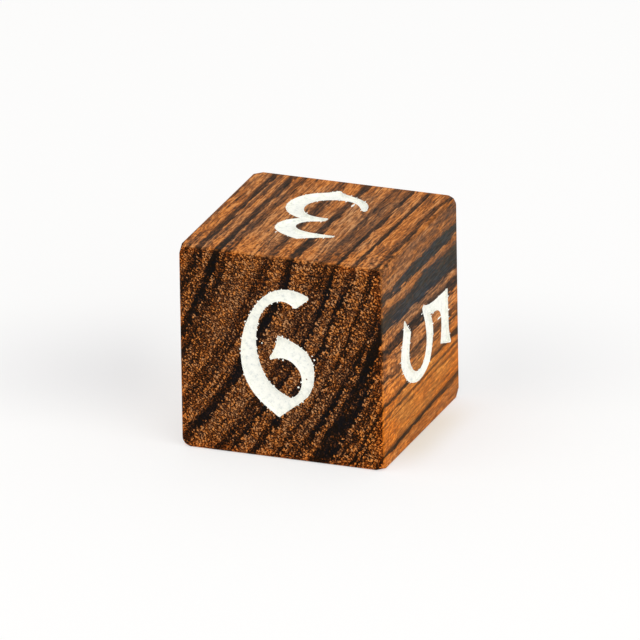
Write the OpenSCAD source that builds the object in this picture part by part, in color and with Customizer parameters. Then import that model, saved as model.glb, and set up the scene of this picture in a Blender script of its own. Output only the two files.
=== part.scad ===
// Wooden six-sided die: one solid cube of striped hardwood with a numeral carved into each face.
// Each numeral is a flat-bottomed pocket with upright walls, lined with a thin coat of white paint.
// Opposite faces add up to seven. The origin is at the middle of the bottom face, with +Z up.

/* [Cube] */
// Side of the cube, from face to opposite face
cube_side = 16; // [14:0.5:30]
// Radius that eases the twelve edges
edge_radius = 0.25; // [0.1:0.05:0.6]
// Radius that rounds the eight corners, where three edges meet
corner_radius = 1.0; // [0.6:0.05:1.6]

/* [Carving] */
// Height of the six, the tallest numeral, which sets the size of all of them
numeral_height = 10.2; // [6:0.1:11]
// Depth of the carved floor below the face
carving_depth = 0.3; // [0.15:0.05:0.8]

/* [Paint] */
// Thickness of the paint on the floor and the walls of the carving
paint_coat = 0.05; // [0.03:0.01:0.1]
// How far the rim of the paint stays below the face
paint_setback = 0.01; // [0:0.01:0.05]

/* [Hidden] */

wood_colour = "saddlebrown";
paint_colour = "ivory";
half_side = cube_side / 2;
// Largest turn of an outline between two neighbouring points, in degrees
curve_turn = 9;
// Overshoot of a cut past the surface that it opens
cut_clear = 1;
// How far the discs that round the corners clear the faces, and the edges along their axes
face_clear = 0.03;
puck_clear = 0.09;

// An outline is a list of runs, anticlockwise, in millimetres as the numeral is drawn. A run is
// one smooth curve through its points, and it ends on the first point of the next run, where
// the outline has a corner. A run of a single point is a straight edge.
drawn_height = 10.18;
ONE = [
    [[0.75, 5.1], [0.1, 4.6], [-0.8, 4.1]],
    [[-1.95, 3.65], [-2.05, 3.42]],
    [[-1.85, 3.2], [-1.2, 3.25], [-0.75, 3.0], [-0.52, 2.3], [-0.48, 0], [-0.58, -2.9], [-0.85, -3.9]],
    [[-1.45, -4.6]],
    [[-1.25, -4.82], [-0.2, -4.45]],
    [[0.95, -4.25]],
    [[1.05, -4.0], [0.85, -2.6], [0.76, 0.5]]
];
TWO = [
    [[-2.4, 2.35], [-1.85, 3.2], [-1.05, 3.8], [-0.2, 3.98], [0.6, 3.65], [1.05, 2.9], [1.05, 2.0],
        [0.7, 1.0], [-0.1, -0.4], [-1.3, -2.2]],
    [[-2.75, -4.05], [-2.88, -4.25]],
    [[-2.72, -4.42], [-1.7, -4.3], [-0.6, -4.2], [0.4, -4.45], [1.35, -4.7], [2.2, -4.45], [2.8, -3.75]],
    [[3.05, -2.8], [2.95, -2.66]],
    [[2.8, -2.72], [2.3, -3.1], [1.6, -3.25], [0.7, -3.05]],
    [[-0.65, -2.85], [0.7, -0.9], [1.9, 0.75], [2.5, 2.0], [2.5, 3.2], [1.9, 4.3]],
    [[0.5, 5.2], [-0.6, 4.75], [-1.8, 3.75]],
    [[-2.65, 2.55], [-2.58, 2.35]]
];
THREE = [
    [[0.15, 4.02], [-0.45, 3.68], [-1.1, 3.38]],
    [[-2.1, 3.02], [-2.27, 2.82]],
    [[-2.15, 2.6], [-1.4, 2.6], [-0.7, 2.55], [0.05, 2.43], [0.7, 2.15], [1.05, 1.8], [1.15, 1.4],
        [1.0, 0.92], [0.6, 0.5], [0.1, 0.33]],
    [[-0.45, 0.12], [-0.65, -0.2]],
    [[-0.6, -0.56], [0.2, -0.58], [1.0, -0.8], [1.6, -1.4], [1.87, -2.3], [1.75, -3.0], [1.3, -3.62],
        [0.5, -4.07], [-0.4, -4.25], [-1.15, -4.13], [-1.75, -3.75], [-2.15, -3.2]],
    [[-2.5, -2.72], [-2.66, -2.68]],
    [[-2.74, -2.9], [-2.55, -3.8], [-1.95, -4.62], [-0.95, -5.17]],
    [[0.1, -5.6]],
    [[0.45, -6.02]],
    [[0.65, -5.98], [1.1, -5.55], [1.95, -5.12], [2.65, -4.55], [3.15, -3.7], [3.35, -2.6],
        [3.15, -1.6], [2.6, -0.72], [2.0, -0.25]],
    [[1.42, 0.03], [2.05, 0.45], [2.5, 1.1], [2.62, 1.85], [2.42, 2.55], [1.95, 3.08], [1.1, 3.62]]
];
FOUR = [
    [[0.55, 5.1], [-1.2, 1.95]],
    [[-3.05, -1.3], [-3.1, -1.62]],
    [[-2.8, -1.85], [-1.6, -1.64]],
    [[0.02, -1.6], [0.0, -3.3], [-0.18, -4.1]],
    [[-0.6, -4.7]],
    [[-0.4, -4.87], [0.6, -4.45]],
    [[1.62, -4.2]],
    [[1.72, -3.95], [1.52, -3.0]],
    [[1.45, -1.68], [2.1, -1.6], [2.75, -1.25]],
    [[3.15, -0.55]],
    [[2.95, -0.46], [2.3, -0.72]],
    [[1.48, -0.78]],
    [[1.52, 4.2], [1.15, 4.8]]
];
FOUR_COUNTER = [
    [[-1.75, -0.8]],
    [[0.08, -0.8]],
    [[0.15, 2.65], [-0.85, 0.8]]
];
FIVE = [
    [[-1.45, 5.75], [-1.49, 4.4], [-1.5, 3.0], [-1.62, 1.85]],
    [[-1.95, 0.75], [-1.93, 0.55]],
    [[-1.8, 0.42], [-1.4, 0.56], [-0.95, 0.8], [0, 1.12], [0.8, 1.25], [1.45, 1.17], [2.1, 0.82],
        [2.55, 0.3], [2.73, -0.35], [2.6, -1.05], [2.2, -1.68], [1.6, -2.15], [0.9, -2.38], [0.05, -2.26]],
    [[-0.85, -1.95], [-1.45, -2.58]],
    [[-2.12, -3.13], [-2.2, -3.3]],
    [[-2.12, -3.43], [-1.4, -3.53], [-0.75, -3.7], [-0.1, -3.98], [0.6, -4.12], [1.2, -4.03],
        [1.9, -3.6], [2.6, -2.95], [3.25, -1.8], [3.57, -0.45], [3.4, 0.8], [2.85, 1.85], [1.8, 2.4],
        [0.7, 2.65], [-0.05, 2.5]],
    [[-0.74, 2.1], [-0.62, 2.9], [-0.5, 3.55], [-0.15, 4.08], [0.55, 4.35], [1.4, 4.3]],
    [[2.38, 4.13]],
    [[3.06, 6.22]],
    [[2.95, 6.33], [2.3, 6.03], [1.5, 5.88], [0, 5.82]]
];
SIX = [
    [[2.2, 5.12], [1.5, 5.4], [0.7, 5.52], [-0.45, 5.3], [-1.5, 4.55], [-2.5, 3.05], [-3.05, 1.4],
        [-3.17, -0.3], [-2.95, -1.6], [-2.25, -2.95], [-1.35, -3.85]],
    [[-0.35, -4.6], [-0.22, -4.66]],
    [[-0.08, -4.58], [1.0, -3.7], [2.05, -2.8], [2.5, -1.85], [2.6, -0.9], [2.5, -0.1], [2.1, 0.62],
        [1.05, 1.36]],
    [[-0.25, 1.8], [-0.45, 0.9]],
    [[-0.92, -0.02]],
    [[-0.82, -0.2], [-0.35, -0.02], [0.15, 0.02], [0.65, -0.1], [1.15, -0.47], [1.5, -1.0],
        [1.61, -1.6], [1.5, -2.25], [1.2, -2.75]],
    [[0.75, -3.04], [-0.2, -2.58], [-1.0, -1.9], [-1.6, -0.75], [-1.93, 0.5], [-1.9, 1.95], [-1.5, 3.4],
        [-0.85, 4.17], [0.05, 4.53], [0.6, 4.43]],
    [[1.05, 4.13], [1.18, 4.1]],
    [[1.3, 4.15]],
    [[2.12, 4.83], [2.23, 4.98]]
];

// A face of the cube is a row: the numeral's outline, its counters, the turn that lays the
// numeral on its face, and its spin there. The columns are named.
OUTLINE = 0;
COUNTERS = 1;
TURN = 2;
SPIN = 3;
FACE_ONE = [ONE, [], [-90, 0, 0], -90];
FACE_TWO = [TWO, [], [0, -90, 0], 90];
FACE_THREE = [THREE, [], [0, 0, 0], 180];
FACE_FOUR = [FOUR, [FOUR_COUNTER], [180, 0, 0], 90];
FACE_FIVE = [FIVE, [], [0, 90, 0], 0];
FACE_SIX = [SIX, [], [90, 0, 0], 0];
FACES = [FACE_ONE, FACE_TWO, FACE_THREE, FACE_FOUR, FACE_FIVE, FACE_SIX];

function unit(v) = v / norm(v);

// Direction at the far end of a round arc over a chord, from the direction at its near end
function across_arc(direction, chord) = 2 * (unit(chord) * direction) * unit(chord) - direction;

// Direction of a run at its point i: round arcs at its ends, and between them a blend of the
// two chords that meet there, in which the shorter chord counts for more
function heading(run, i) =
    let (last = len(run) - 1)
    last == 1 ? unit(run[1] - run[0])
    : i == 0 ? across_arc(heading(run, 1), run[1] - run[0])
    : i == last ? across_arc(heading(run, last - 1), run[last] - run[last - 1])
    : let (behind = run[i] - run[i - 1], ahead = run[i + 1] - run[i])
    unit(unit(behind) * norm(ahead) + unit(ahead) * norm(behind));

// Point at a share of the way along the cubic from p to q that leaves and arrives as given
function cubic_point(p, q, leave, arrive, share) =
    let (
        s2 = share * share,
        s3 = s2 * share
    )
    p * (2 * s3 - 3 * s2 + 1)
    + q * (3 * s2 - 2 * s3)
    + leave * norm(q - p) * (s3 - 2 * s2 + share)
    + arrive * norm(q - p) * (s3 - s2);

// Angle between two unit vectors
function angle_between(a, b) = acos(min(1, max(-1, a * b)));

// Points of one run, without its last point, which starts the next run
function run_points(run) = [
    for (i = [0 : len(run) - 2])
        let (
            p = run[i],
            q = run[i + 1],
            leave = heading(run, i),
            arrive = heading(run, i + 1),
            turn = angle_between(leave, unit(q - p)) + angle_between(unit(q - p), arrive),
            steps = max(1, ceil(turn / curve_turn))
        )
        for (k = [0 : steps - 1]) cubic_point(p, q, leave, arrive, k / steps)
];

// All the points of a closed outline
function outline_points(outline) =
    let (count = len(outline))
    [for (i = [0 : count - 1]) each run_points(concat(outline[i], [outline[(i + 1) % count][0]]))];

module numeral_shape(face) {
    scale(numeral_height / drawn_height) difference() {
        polygon(outline_points(face[OUTLINE]));
        for (counter = face[COUNTERS]) {
            polygon(outline_points(counter));
        }
    }
}

// Puts a numeral drawn in the XY plane on its face of the cube, with +Z out of the face
module on_face(face) {
    translate([0, 0, half_side])
        rotate(face[TURN])
            translate([0, 0, half_side])
                rotate([0, 0, face[SPIN]])
                    children();
}

module carving(face) {
    on_face(face)
        translate([0, 0, -carving_depth])
            linear_extrude(carving_depth + cut_clear) numeral_shape(face);
}

module eased_square() {
    flat = cube_side - 2 * edge_radius;
    square([cube_side, flat], center = true);
    square([flat, cube_side], center = true);
    for (x = [-1, 1], y = [-1, 1]) {
        translate([x, y] * flat / 2) circle(r = edge_radius, $fn = 32);
    }
}

module eased_prism() {
    linear_extrude(cube_side, center = true) eased_square();
}

// Disc with a round rim. It just misses the faces and the edges along its axis, so that its rim
// only takes off the corners.
module corner_puck() {
    puck_radius = half_side * sqrt(2) + puck_clear;
    puck_half = half_side + face_clear;
    rim_x = puck_radius - corner_radius;
    rim_z = puck_half - corner_radius;
    rotate_extrude($fn = 180) {
        translate([0, -puck_half]) square([rim_x, 2 * puck_half]);
        translate([0, -rim_z]) square([puck_radius, 2 * rim_z]);
        for (side = [-1, 1]) {
            translate([rim_x, side * rim_z]) circle(r = corner_radius, $fn = 64);
        }
    }
}

// Cube with eased edges and rounded corners
module blank() {
    translate([0, 0, half_side])
        intersection_for(turn = [[0, 0, 0], [90, 0, 0], [0, 90, 0]]) {
            rotate(turn) {
                intersection() {
                    eased_prism();
                    corner_puck();
                }
            }
        }
}

module wooden_cube() {
    color(wood_colour)
        difference() {
            blank();
            for (face = FACES) {
                carving(face);
            }
        }
}

// Coat of paint on the floor and the walls of one carving
module paint(face) {
    color(paint_colour)
        on_face(face)
            translate([0, 0, -carving_depth])
                difference() {
                    linear_extrude(carving_depth - paint_setback) numeral_shape(face);
                    translate([0, 0, paint_coat])
                        linear_extrude(carving_depth)
                            offset(delta = -paint_coat) numeral_shape(face);
                }
}

module numeral_one_paint() {
    paint(FACE_ONE);
}

module numeral_two_paint() {
    paint(FACE_TWO);
}

module numeral_three_paint() {
    paint(FACE_THREE);
}

module numeral_four_paint() {
    paint(FACE_FOUR);
}

module numeral_five_paint() {
    paint(FACE_FIVE);
}

module numeral_six_paint() {
    paint(FACE_SIX);
}

wooden_cube();
numeral_one_paint();
numeral_two_paint();
numeral_three_paint();
numeral_four_paint();
numeral_five_paint();
numeral_six_paint();
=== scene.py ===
"""Wooden six-sided die: striped hardwood whose fibres run along Y, with white numerals.

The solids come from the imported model. This script gives them their wood and paint, adds the
specks of paint that strayed over the rims of the numerals, and sets up floor, light and camera.
Places and sizes are in millimetres unless a name ends in _M, and Blender works in metres.
A range is the two values between which a share goes from 0 to 1, or else from the third value
of the range to the fourth.
"""
import math
import random

import bmesh
import bpy
from mathutils import Matrix, Vector


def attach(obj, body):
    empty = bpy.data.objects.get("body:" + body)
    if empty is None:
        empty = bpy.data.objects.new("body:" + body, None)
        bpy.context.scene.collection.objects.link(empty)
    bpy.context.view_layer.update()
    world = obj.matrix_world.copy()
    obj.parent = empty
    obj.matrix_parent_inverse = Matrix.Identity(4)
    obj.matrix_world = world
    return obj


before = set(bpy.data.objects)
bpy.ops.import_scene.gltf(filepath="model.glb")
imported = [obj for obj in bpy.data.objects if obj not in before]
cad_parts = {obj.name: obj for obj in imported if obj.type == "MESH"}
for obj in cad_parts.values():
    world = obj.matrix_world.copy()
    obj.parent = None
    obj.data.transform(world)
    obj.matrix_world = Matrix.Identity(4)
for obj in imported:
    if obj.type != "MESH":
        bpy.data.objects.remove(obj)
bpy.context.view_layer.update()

MM = 0.001
HALF_SIDE = 8.0
CENTRE = Vector((0.0, 0.0, HALF_SIDE))
FIBRES = Vector((0, 1, 0))
WHITE = (1.0, 1.0, 1.0, 1.0)

# The faces of the cube: the numeral on each, the axis out of it, and the axes to the right and
# upwards for someone who looks at it. The top is seen from the front, the bottom too.
FACES = {
    "six": ((0, -1, 0), (1, 0, 0), (0, 0, 1)),
    "one": ((0, 1, 0), (-1, 0, 0), (0, 0, 1)),
    "three": ((0, 0, 1), (1, 0, 0), (0, 1, 0)),
    "four": ((0, 0, -1), (1, 0, 0), (0, -1, 0)),
    "five": ((1, 0, 0), (0, 1, 0), (0, 0, 1)),
    "two": ((-1, 0, 0), (0, -1, 0), (0, 0, 1)),
}

# The growth rings are arcs about a line along Y, the pith. Its place, from the middle of the
# cube, and the distance and the direction of the middle of the cube from it
PITH_X = -42.4
PITH_Z = 22.5
PITH_DISTANCE = math.hypot(PITH_X, PITH_Z)
PITH_BEARING = math.atan2(-PITH_Z, -PITH_X)
# The rings drift from the front to the back: how far at the bottom, how much that changes for
# each millimetre upwards, and what is taken off it low down, as a range of heights
DRIFT_AT_BOTTOM = -0.38
DRIFT_RISE = 0.03
LOW_DRIFT = (7.0, 4.0, 0.0, 0.08)

# Dark streaks in the wood: distance of the middle of the streak from the pith, half its width,
# its darkness, how much it leans outwards and how much it widens for each millimetre along the ring
STREAKS = (
    (37.5, 0.12, 0.32, 0.00, 0.00),
    (38.84, 0.23, 0.84, 0.00, 0.00),
    (39.32, 0.14, 0.40, 0.00, 0.00),
    (40.52, 0.26, 1.00, -0.055, 0.00),
    (41.32, 0.22, 0.66, -0.05, 0.00),
    (42.0, 0.28, 0.32, 0.00, -0.03),
    (44.0, 0.36, 0.50, 0.00, 0.00),
    (45.74, 0.28, 0.95, 0.00, 0.00),
    (48.05, 0.26, 0.60, -0.005, 0.00),
    (48.6, 0.40, 0.34, 0.00, 0.00),
    (48.96, 0.15, 0.95, 0.018, 0.00),
    (50.26, 0.18, 0.95, 0.01, 0.00),
    (51.8, 0.15, 0.76, 0.02, 0.00),
    (52.6, 0.36, 0.22, 0.00, 0.00),
    (53.06, 0.20, 0.90, 0.015, 0.00),
    (54.12, 0.34, 1.00, -0.037, -0.006),
    (54.55, 0.0, 0.95, -0.01, -0.075),
    (54.83, 0.19, 0.92, -0.02, 0.00),
    (55.6, 0.15, 0.70, 0.00, 0.00),
    (55.9, 0.05, 0.60, 0.00, 0.00),
    (56.5, 0.15, 0.30, 0.00, 0.00),
    (56.52, 0.09, 0.90, 0.00, 0.00),
    (56.95, 0.07, 0.70, 0.00, 0.00),
    (57.2, 0.05, 0.50, 0.00, 0.00),
    (58.3, 0.18, 0.34, 0.00, 0.00),
    (58.33, 0.11, 0.84, 0.00, 0.00),
)
# A streak is full up to the second share of its half width, and gone at the first
STREAK_EDGE = (1.25, 0.75)
LEAST_HALF_WIDTH = 0.001
# Streaks are broader by this share on the end grain
END_BREADTH = 0.25
# From these rings outwards, the sides cut the streaks narrower at the front than at the back
NARROW_RINGS = (52.25, 52.75)
NARROWER_AT_FRONT = 0.32
WIDER_WITH_DEPTH = 0.4
# The sides show the streaks darker before this share of the depth and fainter behind it, but not
# close to the middle of the bands with the painted slate-grey reflection
FADE_DEPTH = 0.3
FADE_OFF_SLATE = (0.6, 1.1, 0.0, 0.3)
# Full width of the shifts that make a streak's edge uneven: by dot on the end grain, and by
# strand on the sides. The outer rings have less of them and of the ragged shift
DOT_SCATTER = 0.34
STRAND_SCATTER = (("fibres", 0.36), ("threads", 0.3))
OUTER_STEADIER = 0.55

# Noises that bend the pattern: cycles in a millimetre across the rings, along them and along the
# fibres, octaves, and the full width of the shift
SHIFTS = {
    "dots": ((5.0, 5.0, 0.0), 1.0, 0.24),
    "strands": ((0.8, 0.8, 0.3), 2.0, 0.44),
    "sway": ((0.25, 0.22, 0.05), 2.0, 0.4),
    "ragged": ((2.4, 1.2, 0.2), 2.0, 0.4),
}
# Noises that colour the wood: the places that they follow, cycles in a millimetre as above,
# octaves, and how rough these are
NOISES = {
    "weave": ("grain", (3.0, 8.0, 0.0), 1.0, 0.5),
    "grit": ("grain", (8.0, 11.0, 0.0), 1.5, 0.5),
    "patch": ("grain", (0.8, 0.6, 0.12), 3.0, 0.5),
    "streak_patch": ("grain", (0.9, 0.4, 0.1), 2.0, 0.5),
    "minor": ("grain", (2.6, 0.12, 0.03), 2.0, 0.5),
    "pores": ("grain", (7.0, 7.0, 0.55), 1.0, 0.5),
    "threads": ("wavy", (3.4, 3.4, 0.4), 3.0, 0.6),
    "fibres": ("wavy", (7.5, 7.5, 0.7), 2.0, 0.6),
    "flecks": ("wavy", (4.4, 4.4, 2.6), 2.0, 0.5),
    "mottle": ("wavy", (6.0, 6.0, 2.2), 2.0, 0.6),
    "zone_hue": ("grain", (0.5, 0.5, 0.14), 2.0, 0.5),
    "strand_hue": ("wavy", (3.0, 3.0, 0.45), 3.0, 0.5),
    "worn": ("place", (0.32, 0.32, 0.32), 1.0, 0.5),
}
# Ranges in which some noises turn into marks: faint streaks, pores, and patches in the streaks
MINOR_STREAKS = (0.54, 0.66)
PORES = (0.56, 0.66)
STREAK_PATCHES = (0.25, 0.75, 0.66, 1.16)
# Cut fibres show as pale dots on the end grain. Dots in a millimetre across the rings and along
# them, range from the middle of a dot to its edge, and range of its brightness by its own tint
DOTS_PER_MM = (4.8, 5.4, 0.0)
DOT_REACH = (0.12, 0.58, 1.0, 0.0)
DOT_BRIGHTNESS = (0.2, 1.0, 0.1, 1.2)

# What makes the end grain paler or darker: weight, and the value that changes nothing
END_GRAIN_TONE = (
    ("minor", -0.2, 0.12),
    ("dots", 0.76, 0.25),
    ("weave", 0.6, 0.5),
    ("grit", 2.7, 0.5),
    ("patch", 0.32, 0.5),
)
# Lightness of the plain wood, and how much the darkest streak takes off it
END_GRAIN_LIGHTNESS = 0.54
END_GRAIN_STREAK = 0.5
# How much of the noises the darkest streak covers
END_GRAIN_COVERED = 0.8
# Colour by lightness
END_GRAIN_COLOURS = (
    (0.0, (18, 14, 12)),
    (0.2, (35, 22, 15)),
    (0.45, (84, 46, 24)),
    (0.7, (136, 82, 43)),
    (1.0, (198, 136, 84)),
)
# The cores of the dark streaks on the end grain are a little bluish
CORE_STREAK = (0.7, 1.0, 0.0, 0.6)
CORE_TINT = (0.82, 1.06, 1.5, 1.0)

# The same for the long grain of the four sides
LONG_GRAIN_TONE = (
    ("minor", -0.16, 0.2),
    ("threads", 0.7, 0.5),
    ("fibres", 1.5, 0.5),
    ("mottle", 0.9, 0.5),
    ("pores", -0.2, 0.15),
    ("patch", 0.4, 0.5),
    ("front_flecks", 1.6, 0.0),
)
LONG_GRAIN_LIGHTNESS = 0.72
LONG_GRAIN_STREAK = 0.7
LONG_GRAIN_COVERED = 0.5
LONG_GRAIN_COLOURS = (
    (0.0, (32, 24, 18)),
    (0.2, (60, 41, 28)),
    (0.42, (103, 66, 41)),
    (0.65, (144, 90, 51)),
    (0.82, (178, 114, 64)),
    (1.0, (210, 144, 88)),
)
# Flecks show towards the front edge, between these values of Y
FLECKS_Y = (-1.0, -7.5)
# The range of rings in which the outer ones begin, and how much calmer these are
OUTER_RINGS = (55.0, 57.0)
OUTER_CALMER = 0.5

# Painted reflection: between these rings the streaks are painted slate-grey where the sides cut them,
# standing in for the sheen of the white surroundings on them. The slate follows the darkness of the
# streak, Y and the mottle, and its strands run from one colour to the other
SLATE_RINGS = (52.75, 54.2)
SLATE_SOFTNESS = 0.1
SLATE_STREAK = (0.3, 0.85, 0.1, 0.95)
SLATE_Y = (-8.0, -1.0, 0.62, 1.0)
SLATE_MOTTLE = (0.64, 0.46, 0.45, 1.0)
SLATE_STRANDS = (0.36, 0.64)
SLATE_SHEEN_COLOURS = ((38, 39, 40), (60, 62, 63))
# The wood round them is dull, from the first range of rings to the second
DULL_BEGINS = (51.9, 52.6)
DULL_ENDS = (54.6, 54.0, 0.0, 0.27)
DULL_COLOUR = (84, 66, 52)

# The hue leans to tan or to orange: by broad zones, by strand, by dot and towards the edges
TAN_TINT = (0.92, 1.03, 1.2, 1.0)
ORANGE_TINT = (1.12, 0.95, 0.62, 1.0)
ZONE_LEAN = 2.4
ZONE_LEAN_OFFSET = -0.7
STRAND_LEAN = 2.0
DOT_LEAN = 1.8
EDGE_LEAN = (3.0, 7.8, -0.22, 0.36)
# The outer rings are golden, less so past the second range of rings and on the end grain
GOLDEN_TINT = (1.44, 1.24, 0.59, 1.0)
GOLDEN_ENDS = (58.9, 58.2, 0.35, 1.0)
GOLDEN_LESS_ON_END = 0.75
# The rim of each end face is worn and warmer in patches, and all along below the middle
RIM_REACH = (7.0, 7.95)
WORN_PATCHES = (0.4, 0.6)
WORN_BELOW_MIDDLE = (1.0, -4.0)
RIM_LIGHTNESS = 0.08
RIM_TINT = (1.12, 0.9, 0.62, 1.0)

# The share of end grain, by how far the surface faces along the fibres
END_GRAIN_FACING = (0.55, 0.9)
# The surface of the wood: roughness, more of it on the end grain, full width of its change by
# strand, reflection, strength and height of the relief, and the share of the strands in it
WOOD_ROUGHNESS = 0.42
END_GRAIN_ROUGHER = 0.12
THREADS_ROUGHNESS = 0.2
WOOD_GLOSS = 0.015
WOOD_BUMP = 0.35
WOOD_BUMP_HEIGHT = 0.03
THREADS_BUMP = 0.5

# The coat of paint: cycles in a millimetre, octaves and roughness of its two noises, and their
# shares in its shade. Then its colours by shade, roughness, more of it by grit, reflection, and
# strength and height of the relief
PAINT_MOTTLE = ((2.6, 2.6, 2.6), 4.0, 0.6)
PAINT_GRIT = ((9.0, 9.0, 9.0), 2.0, 0.5)
PAINT_MOTTLE_SHARE = 0.7
PAINT_GRIT_SHARE = 0.3
PAINT_COLOURS = (
    (0.34, (219, 223, 219)),
    (0.45, (243, 244, 236)),
    (0.56, (252, 252, 243)),
)
PAINT_ROUGHNESS = 0.5
PAINT_GRIT_ROUGHNESS = 0.2
PAINT_GLOSS = 0.1
PAINT_BUMP = 0.3
PAINT_BUMP_HEIGHT = 0.02
# A fleck of wood that shows through the paint of the six
PAINT_FLECK = (1.9, -7.72, 6.5)
PAINT_FLECK_REACH = (0.09, 0.04)
PAINT_FLECK_COLOUR = (120, 84, 60)

# How the outer walls of a coat of paint are told from its other faces: the most that their
# normals lean out of the cube's face, and how close they come to its lowest and highest points
UPRIGHT_NORMAL = 0.1
BOTTOM_TOLERANCE = 0.01
TOP_TOLERANCE = 0.005
# Stray paint lies on the wood as a film. It stands this far proud and reaches this far down, and
# its upper rim is drawn in to this share
FILM_PROUD = 0.004
FILM_ROOT = 0.03
FILM_TAPER = 0.8
# Specks along each millimetre of a numeral's rim, and their smallest and largest radius
SPECKS_PER_MM = 2.2
LONG_GRAIN_SPECKS_PER_MM = 1.5
SPECK_RADIUS = (0.02, 0.075)
# How far a speck is drawn out in length, on the end grain and along the fibres of the sides
END_GRAIN_STRETCH = 1.2
LONG_GRAIN_STRETCH = 1.9
SPECK_CORNERS = 8
SPECK_UNEVENNESS = (0.7, 1.25)
# Smallest and largest distance of a speck from the rim, in its own radii
SPECK_OFFSET = (0.3, 0.9)
# Seed for the specks of the first numeral. Each next numeral takes the next one
FIRST_SEED = 100
# Larger specks: place on the face, radius
LONE_SPECKS = {
    "six": (
        ((2.62, 0.22), 0.085),
        ((2.46, 0.5), 0.06),
        ((1.35, -2.12), 0.085),
        ((0.15, -0.1), 0.07),
        ((-2.0, 3.92), 0.07),
        ((-2.35, 3.45), 0.06),
        ((-2.78, 2.6), 0.07),
        ((-3.2, 0.05), 0.075),
        ((-1.32, -1.38), 0.07),
        ((-1.5, 1.05), 0.06),
        ((2.05, -2.75), 0.07),
        ((-0.95, -4.1), 0.07),
    ),
}
# Slivers of paint drawn along the fibres: place of the middle on the face, length, width
SLIVERS = {
    "three": (
        ((1.42, 3.6), 0.75, 0.2),
        ((-2.1, -3.2), 0.4, 0.1),
        ((2.28, -2.75), 0.42, 0.12),
        ((-1.3, 1.1), 0.5, 0.08),
        ((-1.55, 3.95), 0.4, 0.08),
    ),
    "five": (
        ((-4.2, -0.76), 0.5, 0.09),
        ((-4.0, 0.42), 0.4, 0.08),
        ((3.95, -0.25), 0.9, 0.14),
        ((5.95, -0.35), 0.5, 0.12),
        ((5.85, 0.75), 0.4, 0.1),
        ((0.35, 1.42), 0.45, 0.09),
        ((2.6, -0.2), 0.4, 0.1),
        ((2.5, -1.1), 0.45, 0.1),
        ((-2.2, 0.05), 0.4, 0.08),
    ),
}
# Outline of a sliver of length and width 1
SLIVER_SHAPE = ((-0.5, 0.0), (-0.2, -0.38), (0.1, -0.5), (0.5, 0.0), (0.1, 0.42), (-0.2, 0.5))

# Camera: turn from the front, height above the horizon and roll in degrees, distance, focal
# length, width of the sensor, and the nearest and farthest that it sees
CAMERA_TURN = 21.108
CAMERA_HEIGHT = 21.714
CAMERA_ROLL = -0.906
CAMERA_DISTANCE = 1723.7
CAMERA_LENS = 1309.1
SENSOR_WIDTH = 36.0
CAMERA_CLIP_M = (0.1, 20.0)
# How far the middle of the picture lies from the middle of the cube
CAMERA_ASIDE = 0.038
CAMERA_ABOVE = 0.041

# The floor: half its side, how far it lies below the cube, its colour and roughness, and how much
# of what the camera sees of it is not lit
FLOOR_REACH_M = 1.5
FLOOR_DROP = 0.02
FLOOR_COLOUR = (253, 252, 250)
FLOOR_ROUGHNESS = 0.9
FLOOR_UNLIT = 0.55
# Painted shade: a grey band of shade painted on the floor, to the left and the right behind the cube.
# Depths behind the middle of the cube at which it begins, is darkest and ends, the same to the side,
# and its tone
BAND_DEPTHS = (-1.5, 10.5, 27.0)
BAND_ASIDE = (9.5, 15.0, 34.0)
BAND_SHADE_TONE = (243, 243, 244)
# The band weakens from left to right, from the second place to the first
BAND_WEAKER = (50.0, -12.0)
# Painted bounce light and contact shade: the floor beside the right-hand face is painted warmer and a
# little darker, as light from the wood warms it. Ranges of X before and beyond the face, range of the
# distance from the middle along it, and the tone
WARM_BEGINS = (HALF_SIDE - 1.0, HALF_SIDE)
WARM_ENDS = (HALF_SIDE + 3.2, HALF_SIDE)
WARM_ALONG = (HALF_SIDE, 2.0)
WARM_BOUNCE_TONE = (244, 239, 227)

# Strength of the white world as light, and as the camera sees it
WORLD_LIGHT = 0.63
WORLD_SEEN = 1.0
# Lamps: name, place and diameter in metres, power in watts
LAMPS_M = (
    ("key", (0.6, -0.34, 0.49), 1.0, 3.65),
    ("fill", (-0.3, -0.44, 0.66), 1.0, 1.9),
)


def srgb(colour):
    """Linear colour with alpha from display values of 0 to 255."""
    shares = [value / 255 for value in colour]
    linear = [s / 12.92 if s <= 0.04045 else ((s + 0.055) / 1.055) ** 2.4 for s in shares]
    return (*linear, 1.0)


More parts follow.
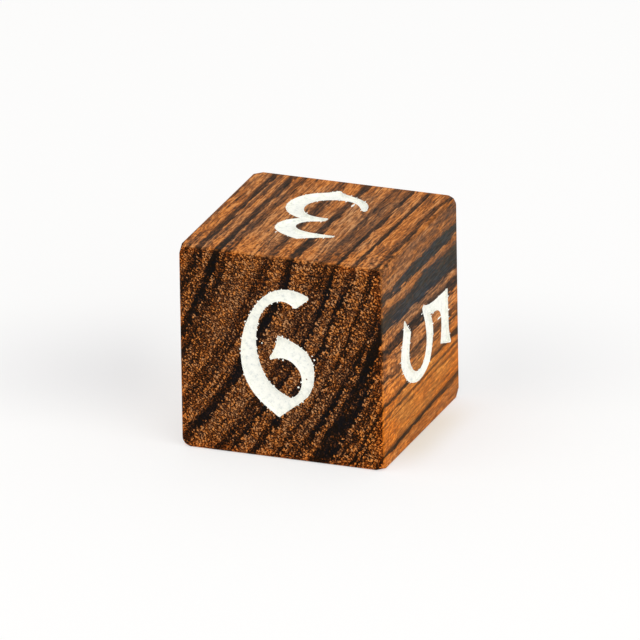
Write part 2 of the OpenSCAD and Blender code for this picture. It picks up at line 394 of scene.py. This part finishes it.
class Tree:
    """A material and its nodes. An input may be a plain value or another node's output."""

    def __init__(self, name):
        self.material = bpy.data.materials.new(name)
        self.material.use_nodes = True
        self.nodes = self.material.node_tree.nodes
        self.links = self.material.node_tree.links
        self.surface = self.nodes["Principled BSDF"]

    def feed(self, socket, value):
        if isinstance(value, bpy.types.NodeSocket):
            self.links.new(value, socket)
        else:
            socket.default_value = value

    def finish(self, colour, roughness, gloss, normal=None):
        """Sets the surface and returns the material."""
        self.feed(self.surface.inputs["Base Color"], colour)
        self.feed(self.surface.inputs["Roughness"], roughness)
        self.surface.inputs["Specular IOR Level"].default_value = gloss
        if normal is not None:
            self.feed(self.surface.inputs["Normal"], normal)
        return self.material

    def node(self, kind, inputs, **settings):
        node = self.nodes.new(kind)
        for name, value in settings.items():
            setattr(node, name, value)
        for name, value in inputs.items():
            self.feed(node.inputs[name], value)
        return node

    def math(self, operation, *values, clamp=False):
        inputs = dict(enumerate(values))
        return self.node("ShaderNodeMath", inputs, operation=operation, use_clamp=clamp).outputs[0]

    def chain(self, operation, values):
        total, *others = values
        for value in others:
            total = self.math(operation, total, value)
        return total

    def plus(self, *values):
        return self.chain("ADD", values)

    def times(self, *values):
        return self.chain("MULTIPLY", values)

    def minus(self, value, other):
        return self.math("SUBTRACT", value, other)

    def line(self, value, slope, offset):
        """Slope times the value, plus the offset."""
        return self.math("MULTIPLY_ADD", value, slope, offset)

    def centred(self, noise, width):
        """A noise of 0 to 1 as one about 0, this wide from end to end."""
        return self.line(noise, width, -width / 2)

    def less(self, value, loss):
        """1 where the value is 0, and less by the loss where it is 1."""
        return self.line(value, -loss, 1.0)

    def step(self, value, low, high, bottom=0.0, top=1.0):
        """Smooth rise from bottom to top while the value goes from low to high."""
        inputs = {"Value": value, "From Min": low, "From Max": high, "To Min": bottom, "To Max": top}
        return self.node("ShaderNodeMapRange", inputs, interpolation_type="SMOOTHSTEP").outputs[0]

    def split(self, vector):
        return self.node("ShaderNodeSeparateXYZ", {0: vector}).outputs

    def join(self, x, y, z):
        return self.node("ShaderNodeCombineXYZ", {0: x, 1: y, 2: z}).outputs[0]

    def scaled(self, vector, factors):
        inputs = {0: vector, 1: factors}
        return self.node("ShaderNodeVectorMath", inputs, operation="MULTIPLY").outputs[0]

    def distance(self, vector, place):
        inputs = {0: vector, 1: place}
        return self.node("ShaderNodeVectorMath", inputs, operation="DISTANCE").outputs[1]

    def noise(self, vector, cycles, octaves, roughness):
        inputs = {"Vector": self.scaled(vector, cycles), "Scale": 1.0}
        inputs.update({"Detail": octaves, "Roughness": roughness})
        return self.node("ShaderNodeTexNoise", inputs).outputs[0]

    def cells(self, vector, per_mm):
        """Distance from the middle of the nearest cell, and that cell's own random colour."""
        inputs = {"Vector": self.scaled(vector, per_mm), "Scale": 1.0}
        return self.node("ShaderNodeTexVoronoi", inputs, voronoi_dimensions="2D").outputs[:2]

    def blend(self, share, a, b, mode="MIX"):
        inputs = {0: share, 6: a, 7: b}
        node = self.nodes.new("ShaderNodeMix")
        node.data_type = "RGBA"
        node.blend_type = mode
        for index, value in inputs.items():
            self.feed(node.inputs[index], value)
        return node.outputs[2]

    def tint(self, share, colour, tint):
        """The colour times the tint, in this share."""
        return self.blend(share, colour, tint, "MULTIPLY")

    def ramp(self, value, stops):
        """Colour by the value, from places on a scale of 0 to 1 and their display colours."""
        node = self.node("ShaderNodeValToRGB", {0: value})
        elements = node.color_ramp.elements
        while len(elements) < len(stops):
            elements.new(0.5)
        for element, (place, colour) in zip(elements, stops):
            element.position = place
            element.color = srgb(colour)
        return node.outputs[0]

    def bump(self, height, strength, distance):
        inputs = {"Height": height, "Strength": strength, "Distance": distance}
        return self.node("ShaderNodeBump", inputs).outputs[0]

    def place(self):
        """Position in the row frame, in millimetres."""
        coordinates = self.nodes.new("ShaderNodeTexCoord")
        return self.scaled(coordinates.outputs["Object"], (1 / MM,) * 3)

    def facing(self, axis):
        """How far the surface faces along an axis, either way."""
        coordinates = self.nodes.new("ShaderNodeTexCoord")
        return self.math("ABSOLUTE", self.split(coordinates.outputs["Normal"])[axis])


class Wood:
    """Places in the wood of the cube and what varies there, as outputs of a tree's nodes."""

    def __init__(self, tree):
        place = tree.place()
        x, self.y, z = tree.split(place)
        self.end = tree.step(tree.facing(1), *END_GRAIN_FACING)
        self.side = tree.less(self.end, 1.0)
        self.set_rings(tree, x, z)
        self.outer = tree.step(self.ring, *OUTER_RINGS)

        self.grain = tree.join(self.ring, self.along, self.y)
        wave = shift(tree, self.grain, "strands")
        wavy = tree.join(tree.plus(self.ring, wave), tree.plus(self.along, wave), self.y)
        fields = {"place": place, "grain": self.grain, "wavy": wavy}
        self.noises = {}
        for name, (field, *settings) in NOISES.items():
            self.noises[name] = tree.noise(fields[field], *settings)
        self.set_marks(tree)
        self.set_wear(tree, x, tree.minus(z, HALF_SIDE))
        self.streak = streak_darkness(tree, self)

    def set_rings(self, tree, x, z):
        """Ring distance from the pith, length along the ring, and share of the way to the back."""
        from_pith_x = tree.minus(x, PITH_X)
        from_pith_z = tree.minus(z, PITH_Z + HALF_SIDE)
        squares = [tree.math("POWER", length, 2.0) for length in (from_pith_x, from_pith_z)]
        distance = tree.math("SQRT", tree.plus(*squares))
        bearing = tree.math("ARCTAN2", from_pith_z, from_pith_x)
        self.along = tree.times(tree.minus(bearing, PITH_BEARING), PITH_DISTANCE)
        self.depth = tree.line(self.y, 0.5 / HALF_SIDE, 0.5)
        drift = tree.minus(tree.line(z, DRIFT_RISE, DRIFT_AT_BOTTOM), tree.step(z, *LOW_DRIFT))
        self.ring = tree.minus(distance, tree.times(self.depth, drift))

    def set_marks(self, tree):
        """Dots on the end grain, and the marks that some of the noises turn into."""
        uneven = shift(tree, self.grain, "dots")
        bent = tree.join(tree.plus(self.ring, uneven), tree.minus(self.along, uneven), 0.0)
        distance, colour = tree.cells(bent, DOTS_PER_MM)
        self.dot_tint, self.dot_hue, _ = tree.split(colour)
        brightness = tree.step(self.dot_tint, *DOT_BRIGHTNESS)
        self.noises["dots"] = tree.times(tree.step(distance, *DOT_REACH), brightness)
        self.noises["minor"] = tree.step(self.noises["minor"], *MINOR_STREAKS)
        self.noises["pores"] = tree.step(self.noises["pores"], *PORES)
        near_front = tree.step(self.y, *FLECKS_Y)
        self.noises["front_flecks"] = tree.times(tree.minus(self.noises["flecks"], 0.5), near_front)

    def set_wear(self, tree, x, height):
        """Wear along the rims of the end faces, and closeness to the edges of the cube."""
        a, b, c = (tree.math("ABSOLUTE", length) for length in (x, self.y, height))
        worn = tree.step(self.noises["worn"], *WORN_PATCHES)
        worn = tree.math("MAXIMUM", worn, tree.step(height, *WORN_BELOW_MIDDLE))
        self.rim = tree.times(tree.step(tree.math("MAXIMUM", a, c), *RIM_REACH), self.end, worn)
        # The middle one of the three distances from the centre is largest along the edges
        smaller = tree.math("MINIMUM", a, b)
        larger = tree.math("MAXIMUM", a, b)
        self.towards_edge = tree.math("MAXIMUM", smaller, tree.math("MINIMUM", larger, c))


def shift(tree, grain, name):
    """Uneven shift, as much one way as the other."""
    cycles, octaves, width = SHIFTS[name]
    return tree.centred(tree.noise(grain, cycles, octaves, 0.5), width)


def streak_darkness(tree, wood):
    """Darkness of the streaks, from 0 to 1, ragged at their edges and patchy along them."""
    strands = [tree.centred(wood.noises[name], width) for name, width in STRAND_SCATTER]
    by_strand = tree.times(tree.plus(*strands), wood.side)
    by_dot = tree.times(tree.centred(wood.dot_tint, DOT_SCATTER), wood.end)
    uneven = tree.plus(shift(tree, wood.grain, "ragged"), by_dot, by_strand)
    uneven = tree.times(uneven, tree.less(wood.outer, OUTER_STEADIER))
    ring = tree.plus(wood.ring, shift(tree, wood.grain, "sway"), uneven)

    narrow = tree.line(wood.depth, WIDER_WITH_DEPTH, -NARROWER_AT_FRONT)
    narrow = tree.times(narrow, tree.step(wood.ring, *NARROW_RINGS), wood.side)
    breadth = tree.plus(1.0, narrow, tree.times(wood.end, END_BREADTH))

    darkness = 0.0
    for middle, half_width, darkest, lean, widening in STREAKS:
        off_middle = tree.math("ABSOLUTE", tree.minus(ring, tree.line(wood.along, lean, middle)))
        width = tree.times(tree.line(wood.along, widening, half_width), breadth)
        share = tree.math("DIVIDE", off_middle, tree.math("MAXIMUM", width, LEAST_HALF_WIDTH))
        darkness = tree.math("MAXIMUM", darkness, tree.step(share, *STREAK_EDGE, 0.0, darkest))

    off_slate = tree.math("ABSOLUTE", tree.minus(wood.ring, sum(SLATE_RINGS) / 2))
    fade = tree.times(tree.minus(FADE_DEPTH, wood.depth), tree.step(off_slate, *FADE_OFF_SLATE))
    darkness = tree.times(darkness, tree.plus(1.0, tree.times(fade, wood.side)))
    patches = tree.step(wood.noises["streak_patch"], *STREAK_PATCHES)
    return tree.math("MULTIPLY", darkness, patches, clamp=True)


def weigh(tree, noises, weights):
    """Sum of the noises, each less its middle and times its weight."""
    parts = (tree.line(noises[name], weight, -weight * middle) for name, weight, middle in weights)
    return tree.plus(*parts)


def end_grain(tree, wood):
    """Tone and colour where the fibres are cut across."""
    covered = tree.less(tree.times(wood.streak, wood.streak), END_GRAIN_COVERED)
    speckle = tree.times(weigh(tree, wood.noises, END_GRAIN_TONE), covered)
    tone = tree.plus(tree.line(wood.streak, -END_GRAIN_STREAK, END_GRAIN_LIGHTNESS), speckle)
    tone = tree.plus(tone, tree.times(wood.rim, RIM_LIGHTNESS))
    colour = tree.ramp(tone, END_GRAIN_COLOURS)
    return tone, tree.tint(tree.step(wood.streak, *CORE_STREAK), colour, CORE_TINT)


def long_grain(tree, wood):
    """Colour where the wood is cut along the fibres, with a painted slate-grey reflection on some
    streaks.
    """
    drawn = tree.times(weigh(tree, wood.noises, LONG_GRAIN_TONE), tree.less(wood.outer, OUTER_CALMER))
    drawn = tree.times(drawn, tree.less(wood.streak, LONG_GRAIN_COVERED))
    tone = tree.plus(tree.line(wood.streak, -LONG_GRAIN_STREAK, LONG_GRAIN_LIGHTNESS), drawn)
    colour = tree.ramp(tone, LONG_GRAIN_COLOURS)
    dull = tree.times(tree.step(wood.ring, *DULL_BEGINS), tree.step(wood.ring, *DULL_ENDS))
    colour = tree.blend(dull, colour, srgb(DULL_COLOUR))
    # Painted reflection: slate-grey painted on the dark streaks in place of the sheen of the white
    # surroundings
    return tree.blend(slate_sheen_share(tree, wood), colour, slate_sheen_colour(tree, wood))


# Share of the painted slate-grey reflection
def slate_sheen_share(tree, wood):
    first, last = SLATE_RINGS
    return tree.times(
        tree.step(wood.ring, first - SLATE_SOFTNESS, first + SLATE_SOFTNESS),
        tree.step(wood.ring, last + SLATE_SOFTNESS, last - SLATE_SOFTNESS),
        tree.step(wood.streak, *SLATE_STREAK),
        tree.step(wood.y, *SLATE_Y),
        tree.step(wood.noises["mottle"], *SLATE_MOTTLE),
    )


def slate_sheen_colour(tree, wood):
    dark, pale = (srgb(colour) for colour in SLATE_SHEEN_COLOURS)
    return tree.blend(tree.step(wood.noises["fibres"], *SLATE_STRANDS), dark, pale)


def with_hue(tree, wood, colour):
    """The colour leaning to tan or orange, golden in the outer rings and warm along the rims."""
    by_zone = tree.line(wood.noises["zone_hue"], ZONE_LEAN, ZONE_LEAN_OFFSET)
    by_strand = tree.centred(wood.noises["strand_hue"], STRAND_LEAN)
    by_dot = tree.times(tree.centred(wood.dot_hue, DOT_LEAN), wood.end)
    by_edge = tree.step(wood.towards_edge, *EDGE_LEAN)
    share = tree.math("ADD", tree.plus(by_zone, by_strand, by_edge), by_dot, clamp=True)
    colour = tree.tint(1.0, colour, tree.blend(share, TAN_TINT, ORANGE_TINT))
    golden = tree.times(wood.outer, tree.step(wood.ring, *GOLDEN_ENDS))
    golden = tree.times(golden, tree.less(wood.end, GOLDEN_LESS_ON_END))
    colour = tree.tint(golden, colour, GOLDEN_TINT)
    return tree.tint(wood.rim, colour, RIM_TINT)


def wood_material():
    tree = Tree("striped_hardwood")
    wood = Wood(tree)
    threads = wood.noises["threads"]
    tone, end_colour = end_grain(tree, wood)
    colour = with_hue(tree, wood, tree.blend(wood.end, long_grain(tree, wood), end_colour))
    rough = tree.line(wood.end, END_GRAIN_ROUGHER, WOOD_ROUGHNESS)
    rough = tree.plus(rough, tree.centred(threads, THREADS_ROUGHNESS))
    relief = tree.plus(tree.times(tone, wood.end), tree.times(threads, THREADS_BUMP))
    normal = tree.bump(relief, WOOD_BUMP, WOOD_BUMP_HEIGHT * MM)
    return tree.finish(colour, rough, WOOD_GLOSS, normal)


def paint_material():
    tree = Tree("white_paint")
    place = tree.place()
    mottle = tree.noise(place, *PAINT_MOTTLE)
    grit = tree.noise(place, *PAINT_GRIT)
    shade = tree.plus(tree.times(mottle, PAINT_MOTTLE_SHARE), tree.times(grit, PAINT_GRIT_SHARE))
    fleck = tree.step(tree.distance(place, PAINT_FLECK), *PAINT_FLECK_REACH)
    colour = tree.blend(fleck, tree.ramp(shade, PAINT_COLOURS), srgb(PAINT_FLECK_COLOUR))
    rough = tree.line(grit, PAINT_GRIT_ROUGHNESS, PAINT_ROUGHNESS)
    normal = tree.bump(shade, PAINT_BUMP, PAINT_BUMP_HEIGHT * MM)
    return tree.finish(colour, rough, PAINT_GLOSS, normal)


def dress(material, *names):
    """Gives CAD nodes a material, in each of their slots."""
    for name in names:
        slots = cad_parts[name].material_slots
        for slot in slots:
            slot.material = material
        if not slots:
            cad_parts[name].data.materials.append(material)


def rim_edges(name, out):
    """Edges of a numeral's paint along its rim: both ends, and the direction outwards."""
    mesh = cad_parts[name].data
    heights = [vertex.co.dot(out) for vertex in mesh.vertices]
    top, bottom = max(heights), min(heights)
    for polygon in mesh.polygons:
        corners = polygon.vertices
        is_upright = abs(polygon.normal.dot(out)) <= UPRIGHT_NORMAL
        # Only the outer walls of the tray of paint reach down to its bottom
        is_outer = min(heights[i] for i in corners) <= bottom + BOTTOM_TOLERANCE * MM
        ends = [mesh.vertices[i].co / MM for i in corners if heights[i] > top - TOP_TOLERANCE * MM]
        if is_upright and is_outer and len(ends) == 2:
            yield ends[0], ends[1], polygon.normal.copy()


def add_film(mesh, origin, axes, outline):
    """Adds a closed flat film of paint to a bmesh. The outline is a list of places on the face."""
    right, up, out = axes
    rings = []
    for height, scale in ((-FILM_ROOT, 1.0), (0.0, 1.0), (FILM_PROUD, FILM_TAPER)):
        ring = [origin + (right * u + up * v) * scale + out * height for u, v in outline]
        rings.append([mesh.verts.new(point * MM) for point in ring])
    count = len(outline)
    for lower, upper in zip(rings, rings[1:]):
        for i in range(count):
            j = (i + 1) % count
            mesh.faces.new((lower[i], lower[j], upper[j], upper[i]))
    mesh.faces.new(rings[-1])
    mesh.faces.new(tuple(reversed(rings[0])))


def speck_outline(draw, length, width, right_is_along):
    """Uneven round outline of a speck, longer one way."""
    points = []
    for i in range(SPECK_CORNERS):
        angle = 2 * math.pi * i / SPECK_CORNERS
        reach = draw.uniform(*SPECK_UNEVENNESS)
        a, b = math.cos(angle) * reach * length, math.sin(angle) * reach * width
        points.append((a, b) if right_is_along else (-b, a))
    return points


def sliver_outline(length, width, right_is_along):
    """Pointed outline, widest at the middle."""
    points = [(a * length, b * width) for a, b in SLIVER_SHAPE]
    return points if right_is_along else [(-b, a) for a, b in points]


def speck_on_rim(draw, start, end, outwards, on_end_grain):
    """Place of a speck beside an edge of the rim, and its half length and half width."""
    smallest, largest = SPECK_RADIUS
    radius = smallest + (largest - smallest) * draw.random() ** 2
    stretch = END_GRAIN_STRETCH if on_end_grain else LONG_GRAIN_STRETCH
    length, width = radius * stretch, radius / math.sqrt(stretch)
    along = abs(outwards.dot(FIBRES))
    reach = along * length + (1 - along) * width
    spot = start.lerp(end, draw.random()) + outwards * reach * draw.uniform(*SPECK_OFFSET)
    return spot, length, width


def stray_paint(numeral, seed, material):
    """Specks and slivers of paint on the wood round one numeral."""
    out, right, up = (Vector(axis) for axis in FACES[numeral])
    axes = (right, up, out)
    face_centre = CENTRE + out * HALF_SIDE
    on_end_grain = abs(out.dot(FIBRES)) > 0.5
    right_is_along = abs(right.dot(FIBRES)) > 0.5
    per_mm = SPECKS_PER_MM if on_end_grain else LONG_GRAIN_SPECKS_PER_MM
    draw = random.Random(seed)
    mesh = bmesh.new()
    for start, end, outwards in rim_edges(f"numeral_{numeral}_paint", out):
        expected = (end - start).length * per_mm
        count = int(expected) + (draw.random() < expected % 1)
        for _ in range(count):
            spot, length, width = speck_on_rim(draw, start, end, outwards, on_end_grain)
            spot += out * (face_centre - spot).dot(out)
            add_film(mesh, spot, axes, speck_outline(draw, length, width, right_is_along))
    for (u, v), radius in LONE_SPECKS.get(numeral, ()):
        spot = face_centre + right * u + up * v
        add_film(mesh, spot, axes, speck_outline(draw, radius, radius, right_is_along))
    for (u, v), length, width in SLIVERS.get(numeral, ()):
        spot = face_centre + right * u + up * v
        add_film(mesh, spot, axes, sliver_outline(length, width, right_is_along))
    bmesh.ops.recalc_face_normals(mesh, faces=mesh.faces)
    data = bpy.data.meshes.new(f"numeral_{numeral}_stray_paint")
    mesh.to_mesh(data)
    mesh.free()
    data.materials.append(material)
    piece = bpy.data.objects.new(data.name, data)
    bpy.context.scene.collection.objects.link(piece)
    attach(piece, "root")


def make_camera():
    turn, height, roll = (math.radians(a) for a in (CAMERA_TURN, CAMERA_HEIGHT, CAMERA_ROLL))
    ahead = math.cos(height)
    back = Vector((math.sin(turn) * ahead, -math.cos(turn) * ahead, math.sin(height)))
    level = Vector((math.cos(turn), math.sin(turn), 0.0))
    upright = back.cross(level)
    right = level * math.cos(roll) + upright * math.sin(roll)
    up = upright * math.cos(roll) - level * math.sin(roll)
    data = bpy.data.cameras.new("camera")
    data.lens = CAMERA_LENS
    data.sensor_width = SENSOR_WIDTH
    data.clip_start, data.clip_end = CAMERA_CLIP_M
    camera = bpy.data.objects.new("camera", data)
    spot = CENTRE + right * CAMERA_ASIDE + up * CAMERA_ABOVE + back * CAMERA_DISTANCE
    axes = Matrix((right, up, back)).transposed().to_4x4()
    camera.matrix_world = Matrix.Translation(spot * MM) @ axes
    bpy.context.scene.collection.objects.link(camera)
    bpy.context.scene.camera = camera


def seen(nodes, links):
    """1 for what the camera, a reflection or glass sees, 0 for light that falls on things."""
    path = nodes.new("ShaderNodeLightPath")
    total = path.outputs["Is Camera Ray"]
    for ray in ("Is Glossy Ray", "Is Transmission Ray"):
        either = nodes.new("ShaderNodeMath")
        either.operation = "MAXIMUM"
        links.new(total, either.inputs[0])
        links.new(path.outputs[ray], either.inputs[1])
        total = either.outputs[0]
    return total


def floor_tone(tree):
    """White, with a painted band of shade behind the cube and painted warm light and shade beside its
    right-hand face.
    """
    turn = math.radians(CAMERA_TURN)
    x, y, _ = tree.split(tree.place())
    depth = tree.plus(tree.times(x, -math.sin(turn)), tree.times(y, math.cos(turn)))
    aside = tree.plus(tree.times(x, math.cos(turn)), tree.times(y, math.sin(turn)))
    # Painted shade: the grey band behind the cube
    band = tree.step(aside, *BAND_WEAKER)
    ways = ((depth, BAND_DEPTHS), (tree.math("ABSOLUTE", aside), BAND_ASIDE))
    for distance, (near, middle, far) in ways:
        band = tree.times(band, tree.step(distance, near, middle), tree.step(distance, far, middle))
    # Painted warm bounce light and contact shade beside the right-hand face
    warm = tree.times(
        tree.step(x, *WARM_BEGINS),
        tree.step(x, *WARM_ENDS),
        tree.step(tree.math("ABSOLUTE", y), *WARM_ALONG),
    )
    return tree.tint(warm, tree.blend(band, WHITE, srgb(BAND_SHADE_TONE)), srgb(WARM_BOUNCE_TONE))


def make_floor():
    tree = Tree("floor_white")
    tone = floor_tone(tree)
    tree.finish(tree.tint(1.0, tone, srgb(FLOOR_COLOUR)), FLOOR_ROUGHNESS, 0.0)
    unlit = tree.node("ShaderNodeEmission", {"Color": tone, "Strength": 1.0})
    share = tree.times(seen(tree.nodes, tree.links), FLOOR_UNLIT)
    mixed = tree.node("ShaderNodeMixShader", {0: share})
    tree.links.new(tree.surface.outputs[0], mixed.inputs[1])
    tree.links.new(unlit.outputs[0], mixed.inputs[2])
    tree.links.new(mixed.outputs[0], tree.nodes["Material Output"].inputs["Surface"])

    mesh = bpy.data.meshes.new("floor")
    ways = ((-1, -1), (1, -1), (1, 1), (-1, 1))
    corners = [(a * FLOOR_REACH_M, b * FLOOR_REACH_M, -FLOOR_DROP * MM) for a, b in ways]
    mesh.from_pydata(corners, [], [(0, 1, 2, 3)])
    mesh.materials.append(tree.material)
    floor = bpy.data.objects.new("floor", mesh)
    bpy.context.scene.collection.objects.link(floor)


def make_world():
    world = bpy.data.worlds.new("studio")
    world.use_nodes = True
    bpy.context.scene.world = world
    nodes = world.node_tree.nodes
    links = world.node_tree.links
    strength = nodes.new("ShaderNodeMapRange")
    links.new(seen(nodes, links), strength.inputs["Value"])
    strength.inputs["To Min"].default_value = WORLD_LIGHT
    strength.inputs["To Max"].default_value = WORLD_SEEN
    background = nodes["Background"]
    background.inputs["Color"].default_value = WHITE
    links.new(strength.outputs[0], background.inputs["Strength"])


def make_lamps():
    for name, spot, size, power in LAMPS_M:
        data = bpy.data.lights.new(name, "AREA")
        data.shape = "DISK"
        data.size = size
        data.energy = power
        lamp = bpy.data.objects.new(name, data)
        lamp.location = spot
        lamp.rotation_euler = (CENTRE * MM - Vector(spot)).to_track_quat("-Z", "Y").to_euler()
        bpy.context.scene.collection.objects.link(lamp)


hardwood = wood_material()
paint = paint_material()
dress(hardwood, "wooden_cube")
dress(paint, *(f"numeral_{name}_paint" for name in FACES))
for number, name in enumerate(FACES):
    stray_paint(name, FIRST_SEED + number, paint)
make_camera()
make_floor()
make_world()
make_lamps()
bpy.context.scene.view_settings.view_transform = "Standard"
